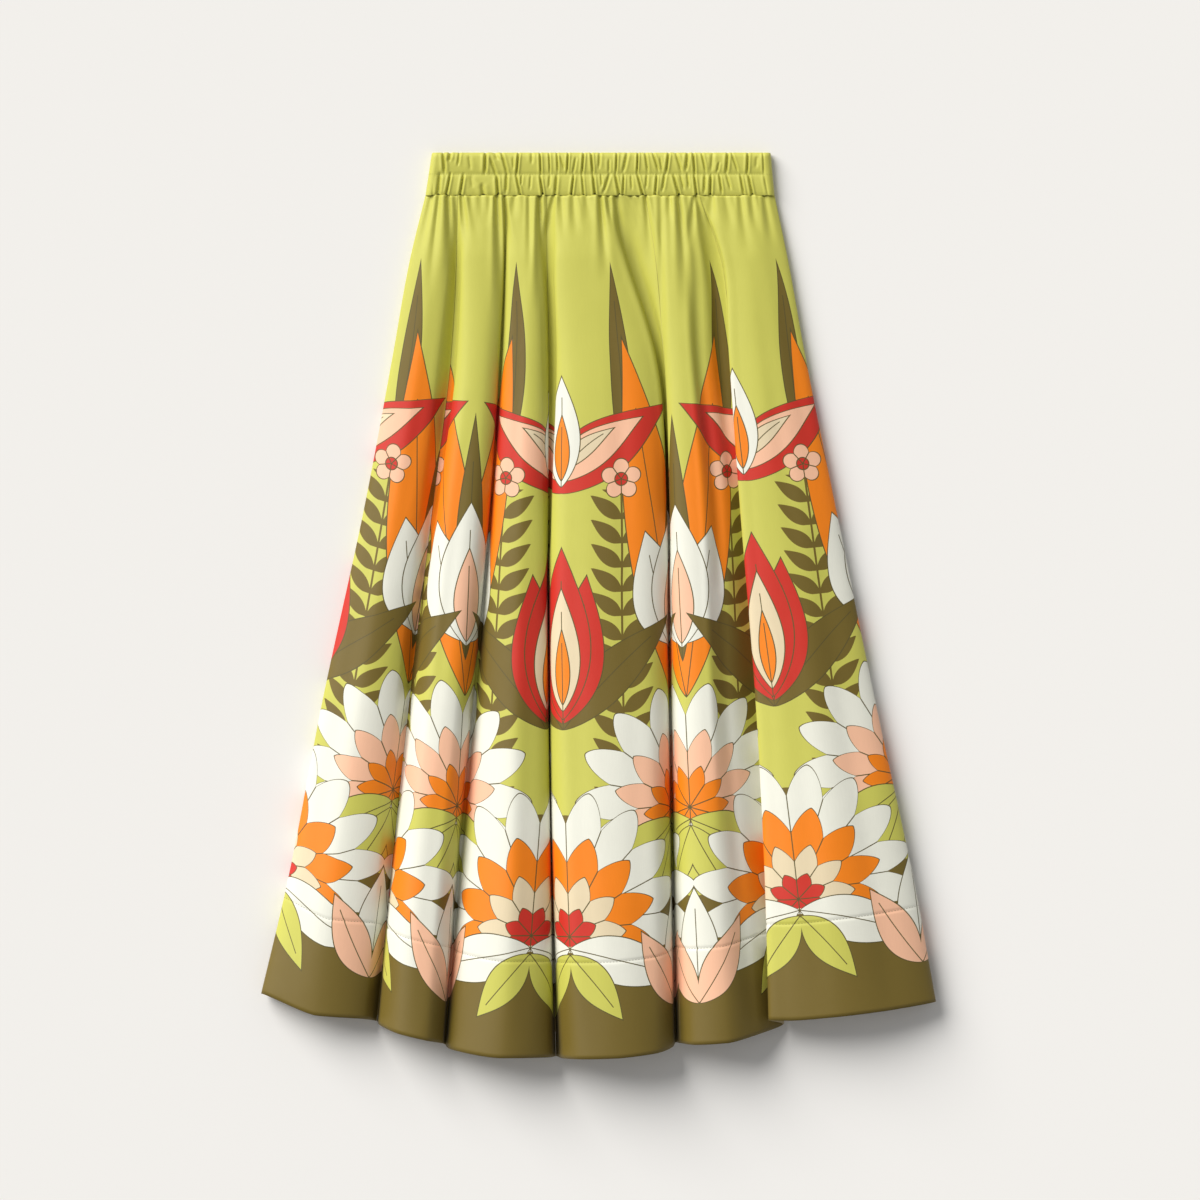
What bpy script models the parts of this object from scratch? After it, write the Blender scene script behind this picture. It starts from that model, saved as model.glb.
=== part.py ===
"""A gathered midi skirt with an elastic waistband, laid on a surface with its front up.

X runs across the skirt, +Y towards the waist and +Z off the surface. Sizes are in millimetres, and
Blender gets metres. The origin is on the surface, under the middle of the skirt's outline.

The front hangs in six folds that widen and rise towards the hem. Each row of FOLDS is one line that
runs down the cloth: a crest, the flank of a fold or the floor of a valley. A smooth curve through
the rows gives the cloth's section at any distance below the top of the waistband, its drop.
"""

from collections import namedtuple

import bmesh
import bpy
import numpy as np

MM = 0.001

# Driving sizes
SKIRT_LENGTH = 904.0
MIDDLE_X = 0.5
CLOTH = 1.3
SEAM_GAP = 0.3
BAND_DEPTH = 43.0
BAND_WALL = 2.4
BAND_HEIGHT = 12.5
BAND_END_ROUND = 5.5

# The underside lies flat, and its sides turn up over this width to meet the front at the side seams.
SIDE_TURN = 14.0
SIDE_RISE = 4.0
SEAM_INSET = 3.0

# Drops at which the table gives each fold line's place. The last place is at the hem.
STATION_DROPS = (43.0, 103.0, 203.0, 343.0, 543.0, 743.0)
# How much of its hem height a crest has at each station, and how far a valley has sunk by then.
CREST_GROWTH = (0.0, 0.07, 0.18, 0.36, 0.64, 0.91, 1.0)
VALLEY_GROWTH = (0.0, 0.6, 1.0, 1.0, 1.0, 1.0, 1.0)

SEAM_HEIGHT = CLOTH + SEAM_GAP + 0.2

Fold = namedtuple("Fold", "line across hem_drop waist_height hem_height columns")
FOLDS = (
    # line, places across at the six stations and the hem, drop at the hem, heights, columns to the next
    Fold("left seam", (-169.5, -184, -202, -228, -271, -310, -333), 840, SEAM_HEIGHT, SEAM_HEIGHT + SIDE_RISE, 3),
    Fold("left side", (-172.5, -187, -205, -231, -274, -313, -336), 840, 6.5, 17, 6),
    Fold("A crest", (-158, -166, -179, -202, -236, -265, -282), 861, 12, 38, 5),
    Fold("A flank", (-148, -150, -160, -177, -202, -222, -233), 865, 11.6, 28, 4),
    Fold("A-B valley", (-140.5, -141.5, -147, -164, -188, -209, -221), 861, 10.4, 4.5, 3),
    Fold("B left flank", (-138, -138, -141, -158, -182, -206, -218), 868, 11, 22, 4),
    Fold("B left crest", (-130, -130, -131, -147, -167, -189, -199), 879, 12, 43, 6),
    Fold("B right crest", (-105, -105, -111, -121, -141, -160, -170), 883, 12, 46, 4),
    Fold("B edge", (-95, -95, -100, -109, -128, -146, -156), 882, 11.4, 29, 4),
    Fold("B-C valley", (-93, -93, -97, -106, -123, -141, -153), 883, 10.4, 4.5, 4),
    Fold("C left flank", (-88, -89, -92, -101, -114, -131, -147), 895, 11.2, 27, 6),
    Fold("C crest", (-74, -73, -73, -76, -80, -86, -95), 903, 12, 51, 7),
    Fold("C edge", (-60, -60, -57, -55, -52, -50, -50), 898, 11.2, 34, 4),
    Fold("C-D valley", (-51, -51, -49, -50, -49, -46, -42), 895, 10.2, 4.5, 4),
    Fold("D edge", (-42, -45, -41, -45, -46, -42, -34), 903, 11.4, 34, 4),
    Fold("D left crest", (-34, -36, -31, -34, -34, -28, -19), 904, 12, 51, 5),
    Fold("D crest", (-18, -13, 2, 6, 9, 13, 20), 903, 12.2, 57, 6),
    Fold("D right crest", (0, 13, 38, 48, 54, 58, 60), 897, 12, 49, 4),
    Fold("D right edge", (8, 24, 53, 64, 68, 71, 74), 888, 11.2, 32, 4),
    Fold("D-E valley", (14, 30, 59, 68, 72, 75, 78), 885, 10.4, 4.5, 5),
    Fold("E left flank", (47, 57, 65, 71, 75, 79, 82), 888, 11, 24, 4),
    Fold("E left crest", (54, 65, 73, 78, 84, 91, 96), 890, 12, 44, 5),
    Fold("E crest", (72, 82, 89, 100, 108, 120, 130), 889, 12, 50, 5),
    Fold("E right flank", (92, 102, 107, 124, 132, 148, 160), 881, 11.6, 30, 5),
    Fold("E-F valley", (101, 122, 133, 145, 163, 177, 185), 869, 10.4, 4.5, 4),
    Fold("F edge", (104, 124, 131, 141, 157, 167, 170), 865, 11.2, 34, 4),
    Fold("F left crest", (113, 134, 142, 154, 172, 184, 189), 866, 12, 42, 6),
    Fold("F crest", (136, 150, 162, 179, 202, 228, 240), 861, 12.2, 48, 7),
    Fold("F right crest", (158, 168, 182, 205, 238, 274, 290), 853, 11.8, 41, 6),
    Fold("right side", (176.5, 189, 207, 235, 275.5, 318, 337), 838, 6.5, 19, 3),
    Fold("right seam", (173.5, 186, 204, 232, 272.5, 315, 334), 838, SEAM_HEIGHT, SEAM_HEIGHT + SIDE_RISE, 0),
)

# Each front piece runs from its first fold line to its last, where it is sewn to the next piece.
FrontPiece = namedtuple("FrontPiece", "name first last")
FRONT_PIECES = (
    FrontPiece("front_side_left", "left seam", "A-B valley"),
    FrontPiece("front_left", "A-B valley", "C-D valley"),
    FrontPiece("front_middle", "C-D valley", "E left flank"),
    FrontPiece("front_right", "E left flank", "E-F valley"),
    FrontPiece("front_side_right", "E-F valley", "right seam"),
)

# The gathers. Each is a groove across the waistband, unlike above and below its row of stitches,
# that runs on as a crease down the front, drifting sideways by its lean.
Gather = namedtuple("Gather", "across upper_depth lower_depth run lean")
GATHERS = (
    Gather(-161, 0.8, 1.2, 14, -2),
    Gather(-151, 1.6, 2.2, 40, -4),
    Gather(-141, 1.2, 2.4, 60, -1),
    Gather(-133, 1.8, 1.8, 45, 1),
    Gather(-120, 2.2, 1.2, 16, 0),
    Gather(-109, 1.2, 1.6, 20, 0),
    Gather(-98, 2.0, 2.2, 40, -1),
    Gather(-87, 1.4, 2.4, 55, -2),
    Gather(-77, 2.0, 1.2, 15, 0),
    Gather(-68, 1.0, 1.6, 18, 0),
    Gather(-60, 1.8, 2.2, 50, 1),
    Gather(-50, 2.2, 2.4, 60, 1),
    Gather(-40, 1.0, 1.4, 20, 0),
    Gather(-31, 2.0, 2.2, 38, 0),
    Gather(-23, 1.4, 2.0, 35, 1),
    Gather(-11, 2.2, 1.4, 16, 1),
    Gather(1, 1.4, 1.8, 22, 2),
    Gather(14, 2.0, 2.4, 45, 8),
    Gather(26, 1.6, 1.4, 18, 2),
    Gather(37, 2.0, 1.8, 22, 2),
    Gather(49, 1.6, 2.4, 50, 6),
    Gather(63, 2.0, 2.2, 40, 5),
    Gather(72, 1.2, 1.2, 14, 1),
    Gather(81, 2.2, 2.2, 55, 5),
    Gather(94, 1.6, 2.4, 60, 14),
    Gather(104, 1.6, 1.4, 18, 3),
    Gather(114, 2.0, 2.2, 50, 2),
    Gather(125, 1.4, 1.6, 20, 2),
    Gather(134, 2.0, 1.2, 15, 1),
    Gather(143, 1.6, 2.2, 40, 3),
    Gather(153, 2.0, 1.6, 18, 2),
    Gather(163, 1.2, 1.8, 22, 3),
)
GROOVE_HALF_WIDTH = 1.9
CREASE_HALF_WIDTH = 3.2

# Drops of the rows of points that each piece is lofted through.
FRONT_DROPS = (47, 56, 72, 98, 140, 205, 290, 385, 490, 595, 700, 800)
BACK_DROPS = (103, 203, 343, 543, 743)
BACK_COLUMNS = 16
BACK_MIDDLE_HEM = 879.0
BACK_SIDE_HEM = 840.0

# The waistband's rows: its drop, the height that it has lost there, and the share of the upper and
# the lower depth that its grooves have.
BandRow = namedtuple("BandRow", "drop sunk upper_share lower_share")
BAND_ROWS = (
    BandRow(0.0, 1.6, 0.5, 0.0),
    BandRow(3.5, 0.2, 1.0, 0.0),
    BandRow(13.0, 0.0, 1.0, 0.1),
    BandRow(21.5, 1.4, 0.4, 0.4),
    BandRow(29.0, 0.0, 0.1, 1.0),
    BandRow(39.0, 0.3, 0.0, 1.0),
    BandRow(BAND_DEPTH - SEAM_GAP / 2, 0.3, 0.0, 1.0),
)
BAND_TOP_HALF_WIDTHS = (166.0, 172.5)
BAND_FOOT_HALF_WIDTHS = (172.5, 176.5)
BAND_END_STEPS = 6
BAND_BACK_STEPS = 14

PRINT_GROUND = (0.64, 0.63, 0.16)
BAND_GROUND = (0.56, 0.54, 0.12)
CLOTH_ROUGHNESS = 0.62


def clear_scene():
    for obj in list(bpy.data.objects):
        bpy.data.objects.remove(obj, do_unlink=True)


def cloth_material(name, colour):
    material = bpy.data.materials.new(name)
    material.use_nodes = True
    shader = material.node_tree.nodes["Principled BSDF"]
    shader.inputs["Base Color"].default_value = (*colour, 1.0)
    shader.inputs["Roughness"].default_value = CLOTH_ROUGHNESS
    shader.inputs["Metallic"].default_value = 0.0
    return material


def smooth_through(values, at, wanted):
    """The values wanted of a smooth curve through the values at the ascending places at."""
    values = np.asarray(values, float)
    at = np.asarray(at, float)
    slopes = np.gradient(values, at)
    right = np.clip(np.searchsorted(at, wanted), 1, len(at) - 1)
    left = right - 1
    step = at[right] - at[left]
    t = np.clip((wanted - at[left]) / step, 0.0, 1.0)
    return (
        values[left] * (2 * t**3 - 3 * t**2 + 1)
        + slopes[left] * step * (t**3 - 2 * t**2 + t)
        + values[right] * (3 * t**2 - 2 * t**3)
        + slopes[right] * step * (t**3 - t**2)
    )


def fold_line_at(fold, drop):
    """Where a fold line lies across the skirt, and its height, at a drop."""
    drops = (*STATION_DROPS, fold.hem_drop)
    across = smooth_through(fold.across, drops, drop)
    rises = fold.hem_height >= fold.waist_height
    growth = np.interp(drop, drops, CREST_GROWTH if rises else VALLEY_GROWTH)
    return across, fold.waist_height + (fold.hem_height - fold.waist_height) * growth


def column_places():
    """Each column of points as a fold line's number and the share of the way to the next one."""
    places = []
    for number, fold in enumerate(FOLDS):
        shares = np.arange(fold.columns) / max(fold.columns, 1)
        # Columns stand closer near the fold lines, where the cloth bends most.
        places.extend(number + (1 - np.cos(np.pi * shares)) / 2)
    places.append(len(FOLDS) - 1)
    return np.array(places)


def section_curve(points, places):
    """Points on a smooth curve through the fold points that makes no loops where they crowd."""
    points = np.vstack([2 * points[0] - points[1], points, 2 * points[-1] - points[-2]])
    index = np.clip(places.astype(int), 0, len(points) - 4)
    share = places - index
    p0, p1, p2, p3 = (points[index + k] for k in range(4))
    knots = [np.zeros(len(index))]
    for a, b in ((p0, p1), (p1, p2), (p2, p3)):
        knots.append(knots[-1] + np.maximum(np.linalg.norm(b - a, axis=1), 1e-6) ** 0.5)
    t0, t1, t2, t3 = (k[:, None] for k in knots)
    t = t1 + (t2 - t1) * share[:, None]
    a1 = (t1 - t) / (t1 - t0) * p0 + (t - t0) / (t1 - t0) * p1
    a2 = (t2 - t) / (t2 - t1) * p1 + (t - t1) / (t2 - t1) * p2
    a3 = (t3 - t) / (t3 - t2) * p2 + (t - t2) / (t3 - t2) * p3
    b1 = (t2 - t) / (t2 - t0) * a1 + (t - t0) / (t2 - t0) * a2
    b2 = (t3 - t) / (t3 - t1) * a2 + (t - t1) / (t3 - t1) * a3
    return (t2 - t) / (t2 - t1) * b1 + (t - t1) / (t2 - t1) * b2


def crease_depth(across, drop):
    """How far the gathers' creases sink the front at a place below the waistband."""
    depth = np.zeros_like(across)
    for gather in GATHERS:
        below = drop - BAND_DEPTH
        fade = max(0.0, 1.0 - below / gather.run)
        centre = gather.across + gather.lean * min(below / gather.run, 1.0)
        distance = (across - centre) / CREASE_HALF_WIDTH
        depth += gather.lower_depth * fade * np.exp(-(distance**2))
    return depth


def front_row(share_down, places):
    """One row of the front, as points across, drop and height. Shares run from the waist to the hem."""
    hem_drops = section_curve(np.array([[fold.hem_drop, 0.0] for fold in FOLDS]), places)[:, 0]
    top = BAND_DEPTH + SEAM_GAP / 2
    drops = top + (hem_drops - top) * share_down
    # The lines between fold lines keep each fold line's own drop, so a row is curved at the hem.
    points = []
    for place, drop in zip(places, drops):
        first = min(max(int(place) - 1, 0), len(FOLDS) - 4)
        near = np.array([fold_line_at(fold, drop) for fold in FOLDS[first : first + 4]])
        points.append(section_curve(near, np.array([place - first]))[0])
    across, height = np.array(points).T
    sunk = np.array([crease_depth(np.array([x]), d)[0] for x, d in zip(across, drops)])
    inner = (places > 1) & (places < len(FOLDS) - 2)
    return across, drops, height - sunk * inner


def front_grid():
    places = column_places()
    length = SKIRT_LENGTH - BAND_DEPTH
    shares = [0.0, *((drop - BAND_DEPTH) / length for drop in FRONT_DROPS), 1.0]
    return places, [front_row(share, places) for share in shares]


def place(across, drop, height):
    """Metres in the skirt's own frame."""
    return ((across - MIDDLE_X) * MM, (SKIRT_LENGTH / 2 - drop) * MM, height * MM)


def surface_object(name, rows, collection, material, closed=False):
    """A sheet through rows of points, each a list of places. Its outer side faces up."""
    mesh = bmesh.new()
    lofted = [[mesh.verts.new(point) for point in row] for row in rows]
    for upper, lower in zip(lofted, lofted[1:]):
        columns = len(upper)
        for a in range(columns if closed else columns - 1):
            b = (a + 1) % columns
            mesh.faces.new((upper[a], lower[a], lower[b], upper[b]))
    data = bpy.data.meshes.new(name)
    mesh.to_mesh(data)
    mesh.free()
    data.materials.append(material)
    data.shade_smooth()
    obj = bpy.data.objects.new(name, data)
    collection.objects.link(obj)
    return obj


def give_wall(obj, thickness):
    wall = obj.modifiers.new("cloth wall", "SOLIDIFY")
    wall.thickness = thickness * MM
    wall.offset = -1.0
    wall.use_even_offset = False
    wall.use_quality_normals = True
    wall.use_rim = True


def trimmed(row, first, last):
    """The row's points from column first to column last, each end drawn in by half a seam gap."""
    points = np.array(row).T[first : last + 1]
    for end, neighbour in ((0, 1), (-1, -2)):
        along = points[neighbour] - points[end]
        points[end] += along * (SEAM_GAP / 2) / np.linalg.norm(along)
    return points


def make_front(collection, material):
    places, rows = front_grid()
    numbers = {fold.line: number for number, fold in enumerate(FOLDS)}
    for piece in FRONT_PIECES:
        first = int(np.argmin(abs(places - numbers[piece.first])))
        last = int(np.argmin(abs(places - numbers[piece.last])))
        sheet = [[place(*point) for point in trimmed(row, first, last)] for row in rows]
        give_wall(surface_object(piece.name, sheet, collection, material), CLOTH)


def make_back(collection, material):
    left, right = FOLDS[0], FOLDS[-1]
    shares = np.concatenate([[0.0], np.linspace(0.0, 1.0, BACK_COLUMNS), [1.0]])
    rows = []
    for drop in (BAND_DEPTH + SEAM_GAP / 2, *BACK_DROPS, None):
        at_side = BACK_SIDE_HEM if drop is None else drop
        growth = np.interp(at_side, (*STATION_DROPS, BACK_SIDE_HEM), CREST_GROWTH)
        edges = [
            smooth_through(side.across, (*STATION_DROPS, side.hem_drop), at_side)
            for side in (left, right)
        ]
        inner = np.array(edges) + np.array([SIDE_TURN, -SIDE_TURN])
        across = inner[0] + (inner[1] - inner[0]) * shares
        across[0], across[-1] = edges
        height = np.full(len(across), CLOTH)
        height[[0, -1]] += SIDE_RISE * growth
        drops = np.full(len(across), at_side, float)
        if drop is None:
            from_middle = across / max(abs(edges[0]), edges[1])
            drops += (BACK_MIDDLE_HEM - BACK_SIDE_HEM) * (1 - from_middle**2)
        rows.append([place(*point) for point in zip(across, drops, height)])
    # The wall hangs straight down from the top, so that the underside is one plane.
    panel = surface_object("back_panel", rows, collection, material)
    thicken_down(panel, CLOTH * MM)


def thicken_down(obj, thickness):
    """Closes a sheet into a slab whose lower side is the same sheet, set down by its thickness."""
    mesh = bmesh.new()
    mesh.from_mesh(obj.data)
    upper = list(mesh.faces)
    made = bmesh.ops.extrude_face_region(mesh, geom=upper, use_keep_orig=True)
    lower = [item for item in made["geom"] if isinstance(item, bmesh.types.BMVert)]
    bmesh.ops.translate(mesh, verts=lower, vec=(0.0, 0.0, -thickness))
    bmesh.ops.recalc_face_normals(mesh, faces=list(mesh.faces))
    mesh.to_mesh(obj.data)
    mesh.free()


def band_across(left, right):
    """Places across the waistband's front: each groove, its two lips and the puff after it."""
    puffs = [(a.across + b.across) / 2 for a, b in zip(GATHERS, GATHERS[1:])]
    grooves = [
        gather.across + side * GROOVE_HALF_WIDTH
        for gather in GATHERS
        for side in (-1, 0, 1)
    ]
    middle = np.array(sorted(puffs + grooves))
    # The same places drawn in at the narrower top of the band.
    reach = (left + right) / (BAND_FOOT_HALF_WIDTHS[0] + BAND_FOOT_HALF_WIDTHS[1])
    return middle * reach


def band_row(row):
    down = row.drop / BAND_DEPTH
    left, right = (
        top + (foot - top) * down
        for top, foot in zip(BAND_TOP_HALF_WIDTHS, BAND_FOOT_HALF_WIDTHS)
    )
    front = band_across(left, right)
    depth = np.zeros(len(front))
    reach = (left + right) / sum(BAND_FOOT_HALF_WIDTHS)
    for gather in GATHERS:
        distance = (front / reach - gather.across) / GROOVE_HALF_WIDTH
        share = gather.upper_depth * row.upper_share + gather.lower_depth * row.lower_share
        depth += share * np.exp(-(distance**2))
    top = BAND_HEIGHT - row.sunk
    half = top / 2
    turns = (np.arange(1, BAND_END_STEPS) / BAND_END_STEPS) * np.pi
    left_end = -left + BAND_END_ROUND
    right_end = right - BAND_END_ROUND
    points = [(x, top - d) for x, d in zip(front, depth)]
    points += [(right_end + BAND_END_ROUND * np.sin(a), half + half * np.cos(a)) for a in turns]
    points += [(x, 0.0) for x in np.linspace(right_end, left_end, BAND_BACK_STEPS)]
    points += [(left_end - BAND_END_ROUND * np.sin(a), half - half * np.cos(a)) for a in turns]
    return [place(x, row.drop, z) for x, z in points]


def make_waistband(collection, material):
    rows = [band_row(row) for row in BAND_ROWS]
    give_wall(surface_object("waistband", rows, collection, material, closed=True), BAND_WALL)


def main():
    clear_scene()
    collection = bpy.data.collections.new("skirt")
    bpy.context.scene.collection.children.link(collection)
    printed = cloth_material("printed cotton", PRINT_GROUND)
    gathered = cloth_material("gathered cotton", BAND_GROUND)
    make_waistband(collection, gathered)
    make_front(collection, printed)
    make_back(collection, printed)


main()
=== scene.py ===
# Gathered midi skirt, laid flat with its front up.
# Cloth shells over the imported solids, gathers and creases, stitches, a printed cotton and studio light.
# Shapes are worked out in millimetres: across, down from the waistband's top (drop) and up (height).
import math

import bmesh
import bpy
import numpy as np
from mathutils import Matrix, Vector


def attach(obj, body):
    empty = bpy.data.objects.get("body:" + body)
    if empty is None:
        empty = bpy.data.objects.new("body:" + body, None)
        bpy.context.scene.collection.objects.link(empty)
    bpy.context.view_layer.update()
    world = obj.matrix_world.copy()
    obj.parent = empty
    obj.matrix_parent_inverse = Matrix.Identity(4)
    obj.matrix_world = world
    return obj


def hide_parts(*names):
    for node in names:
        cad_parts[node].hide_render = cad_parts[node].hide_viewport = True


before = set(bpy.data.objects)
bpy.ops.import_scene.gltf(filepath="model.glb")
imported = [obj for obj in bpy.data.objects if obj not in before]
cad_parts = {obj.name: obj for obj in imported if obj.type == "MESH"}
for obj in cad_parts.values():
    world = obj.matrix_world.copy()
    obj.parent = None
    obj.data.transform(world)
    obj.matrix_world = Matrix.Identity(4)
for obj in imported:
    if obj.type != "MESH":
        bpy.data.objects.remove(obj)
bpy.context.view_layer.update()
mm = 0.001

skirt = {
    "length": 904.0,
    "middleX": 0.5,
    "clothThickness": 0.9,
    "seamGap": 0.3,
    "stations": (43.0, 103.0, 203.0, 343.0, 543.0, 743.0),  # drops of the fold table, then the hem
    "crestGrowth": (0.0, 0.15, 0.28, 0.45, 0.68, 0.92, 1.0),  # share there of the way to the hem's height
    "valleyGrowth": (0.0, 0.8, 1.0, 1.0, 1.0, 1.0, 1.0),
    "seamHeight": 1.8,  # of the side seams at the waist
    "sideRise": 4.0,  # how much higher they lie at the hem
    "rows": 172,
    "rowsCrowding": 1.12,  # more brings the rows closer together at the waist
    "finerColumns": 3,  # columns here for each column of the solids
    "plainSides": 0.6,  # how many fold lines in from the side seams the creases start
    "fullness": 0.22,  # how much wider the gathered cloth is at the waist than it looks
    "fullTo": 320.0,  # drop where that ends
    "printLength": 855.0,  # of the cloth, from the waist seam to the hem
    "settleFrom": 250.0,  # drops between which a fold goes from its waist's to its hem's settling
    "settleTo": 800.0,
    "settleStart": 90.0,  # settling starts over this length below the waist seam
    "lipRise": 0.38,  # share of a crease's depth that the cloth rises beside it
    "lipPlace": 2.0,  # where it does so, in the crease's half widths
}

sideTop = skirt["seamHeight"] + skirt["sideRise"]

# One row for each line that runs down the cloth:
# name, places across at the stations and the hem, hem drop, waist height, hem height, columns to the next
foldLines = [
    ("left seam", (-169.5, -184, -202, -228, -271, -310, -333), 840, skirt["seamHeight"], sideTop, 3),
    ("left side", (-172.5, -187, -205, -231, -274, -313, -336), 840, 6.5, 17, 6),
    ("A crest", (-158, -166, -179, -202, -236, -265, -282), 861, 12, 38, 5),
    ("A flank", (-148, -150, -160, -177, -202, -222, -233), 865, 11.6, 28, 4),
    ("A-B valley", (-140.5, -141.5, -147, -164, -188, -209, -221), 868, 10.4, 4.5, 3),
    ("B left flank", (-138, -138, -141, -158, -182, -206, -218), 871, 11, 22, 4),
    ("B left crest", (-130, -130, -131, -147, -167, -189, -199), 879, 12, 43, 6),
    ("B right crest", (-105, -105, -111, -121, -141, -160, -170), 886, 12, 46, 4),
    ("B edge", (-95, -95, -100, -109, -128, -146, -156), 889, 11.4, 29, 4),
    ("B-C valley", (-93, -93, -97, -106, -123, -141, -153), 891, 10.4, 4.5, 4),
    ("C left flank", (-88, -89, -92, -101, -114, -131, -147), 895, 11.2, 27, 6),
    ("C crest", (-74, -73, -73, -76, -80, -86, -95), 903, 12, 51, 7),
    ("C edge", (-60, -60, -57, -55, -52, -50, -50), 903, 11.2, 34, 4),
    ("C-D valley", (-51, -51, -49, -50, -49, -46, -42), 903, 10.2, 4.5, 4),
    ("D edge", (-42, -45, -41, -45, -46, -42, -34), 904, 11.4, 34, 4),
    ("D left crest", (-34, -36, -31, -34, -34, -28, -19), 904, 12, 51, 5),
    ("D crest", (-18, -13, 2, 6, 9, 13, 20), 903, 12.2, 57, 6),
    ("D right crest", (0, 13, 38, 48, 54, 58, 60), 898, 12, 49, 4),
    ("D right edge", (8, 24, 53, 64, 68, 71, 74), 893, 11.2, 32, 4),
    ("D-E valley", (14, 30, 59, 68, 72, 75, 78), 889, 10.4, 4.5, 5),
    ("E left flank", (47, 57, 65, 71, 75, 79, 82), 889, 11, 24, 4),
    ("E left crest", (54, 65, 73, 78, 84, 91, 96), 890, 12, 44, 5),
    ("E crest", (72, 82, 89, 100, 108, 120, 130), 888, 12, 50, 5),
    ("E right flank", (92, 102, 107, 124, 132, 148, 160), 880, 11.6, 30, 5),
    ("E-F valley", (101, 122, 133, 145, 163, 177, 185), 871, 10.4, 4.5, 4),
    ("F edge", (104, 124, 131, 141, 157, 167, 170), 866, 11.2, 34, 4),
    ("F left crest", (113, 134, 142, 154, 172, 184, 189), 866, 12, 42, 6),
    ("F crest", (136, 150, 162, 179, 202, 228, 240), 862, 12.2, 48, 7),
    ("F right crest", (158, 168, 182, 205, 238, 274, 290), 856, 11.8, 41, 6),
    ("right side", (176.5, 189, 207, 235, 275.5, 318, 337), 848, 6.5, 19, 3),
    ("right seam", (173.5, 186, 204, 232, 272.5, 315, 334), 847, skirt["seamHeight"], sideTop, 0),
]

# How far a fold's side or valley has settled, nearer the waist and at the hem. Less than 0 is raised.
settledLines = {
    "A flank": (0.0, 2.0),
    "A-B valley": (1.6, 1.0),
    "B right crest": (0.8, 1.5),
    "B edge": (2.6, 3.0),
    "B-C valley": (1.6, 1.0),
    "C edge": (-1.8, 1.5),
    "C-D valley": (1.8, 1.0),
    "D right crest": (0.8, 1.5),
    "D right edge": (1.6, 3.0),
    "D-E valley": (1.8, 1.0),
    "E right flank": (2.0, -1.5),
    "E-F valley": (1.0, -2.5),
    "F right crest": (0.8, 1.5),
}

lineNames = [row[0] for row in foldLines]
lineAcross = np.array([row[1] for row in foldLines], float)
lineHem = np.array([row[2] for row in foldLines], float)
lineHeights = np.array([row[3:5] for row in foldLines], float)
lineDrops = np.hstack([np.tile(skirt["stations"], (len(foldLines), 1)), lineHem[:, None]])
lineSettled = np.array([settledLines.get(name, (0.0, 0.0)) for name in lineNames])
lineSlopes = np.array([np.gradient(a, d) for a, d in zip(lineAcross, lineDrops)])


def hermite(t, a, b, slopeA, slopeB, step):
    return (
        a * (2 * t**3 - 3 * t**2 + 1)
        + slopeA * step * (t**3 - 2 * t**2 + t)
        + b * (3 * t**2 - 2 * t**3)
        + slopeB * step * (t**3 - t**2)
    )


def linePoint(line, drop):
    # Place across and height of each fold line at each drop, both given as arrays.
    drops = lineDrops[line]
    right = np.clip((drop[:, None] > drops).sum(axis=1), 1, drops.shape[1] - 1)
    left = right - 1
    start = np.take_along_axis(drops, left[:, None], 1)[:, 0]
    step = np.take_along_axis(drops, right[:, None], 1)[:, 0] - start
    t = np.clip((drop - start) / step, 0, 1)
    placesAndSlopes = (values[line, end] for values in (lineAcross, lineSlopes) for end in (left, right))
    across = hermite(t, *placesAndSlopes, step)
    growths = [np.array(skirt[name]) for name in ("crestGrowth", "valleyGrowth")]
    crest, valley = (growth[left] + (growth[right] - growth[left]) * t for growth in growths)
    growth = np.where(lineHeights[line, 1] >= lineHeights[line, 0], crest, valley)
    height = lineHeights[line, 0] + (lineHeights[line, 1] - lineHeights[line, 0]) * growth
    share = np.clip((drop - skirt["settleFrom"]) / (skirt["settleTo"] - skirt["settleFrom"]), 0, 1)
    settled = lineSettled[line, 0] * (1 - share) + lineSettled[line, 1] * share
    height -= settled * np.clip((drop - skirt["stations"][0]) / skirt["settleStart"], 0, 1)
    return np.stack([across, height], axis=1)


def throughPoints(p0, p1, p2, p3, share):
    # A smooth curve from p1 to p2 that makes no loop where the points crowd.
    knots = [np.zeros(len(share))]
    for a, b in ((p0, p1), (p1, p2), (p2, p3)):
        knots.append(knots[-1] + np.maximum(np.linalg.norm(b - a, axis=1), 1e-6) ** 0.5)
    t0, t1, t2, t3 = (k[:, None] for k in knots)
    t = t1 + (t2 - t1) * share[:, None]
    a1 = (t1 - t) / (t1 - t0) * p0 + (t - t0) / (t1 - t0) * p1
    a2 = (t2 - t) / (t2 - t1) * p1 + (t - t1) / (t2 - t1) * p2
    a3 = (t3 - t) / (t3 - t2) * p2 + (t - t2) / (t3 - t2) * p3
    b1 = (t2 - t) / (t2 - t0) * a1 + (t - t0) / (t2 - t0) * a2
    b2 = (t3 - t) / (t3 - t1) * a2 + (t - t1) / (t3 - t1) * a3
    return (t2 - t) / (t2 - t1) * b1 + (t - t1) / (t2 - t1) * b2


def sectionPoint(place, drop):
    # Points of the front at places along the fold lines and at drops.
    last = len(foldLines) - 1
    index = np.clip(place.astype(int), 0, last - 1)
    p1, p2 = linePoint(index, drop), linePoint(index + 1, drop)
    p0 = np.where((index > 0)[:, None], linePoint(np.maximum(index - 1, 0), drop), 2 * p1 - p2)
    p3 = np.where((index < last - 1)[:, None], linePoint(np.minimum(index + 2, last), drop), 2 * p2 - p1)
    return throughPoints(p0, p1, p2, p3, place - index)


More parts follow.
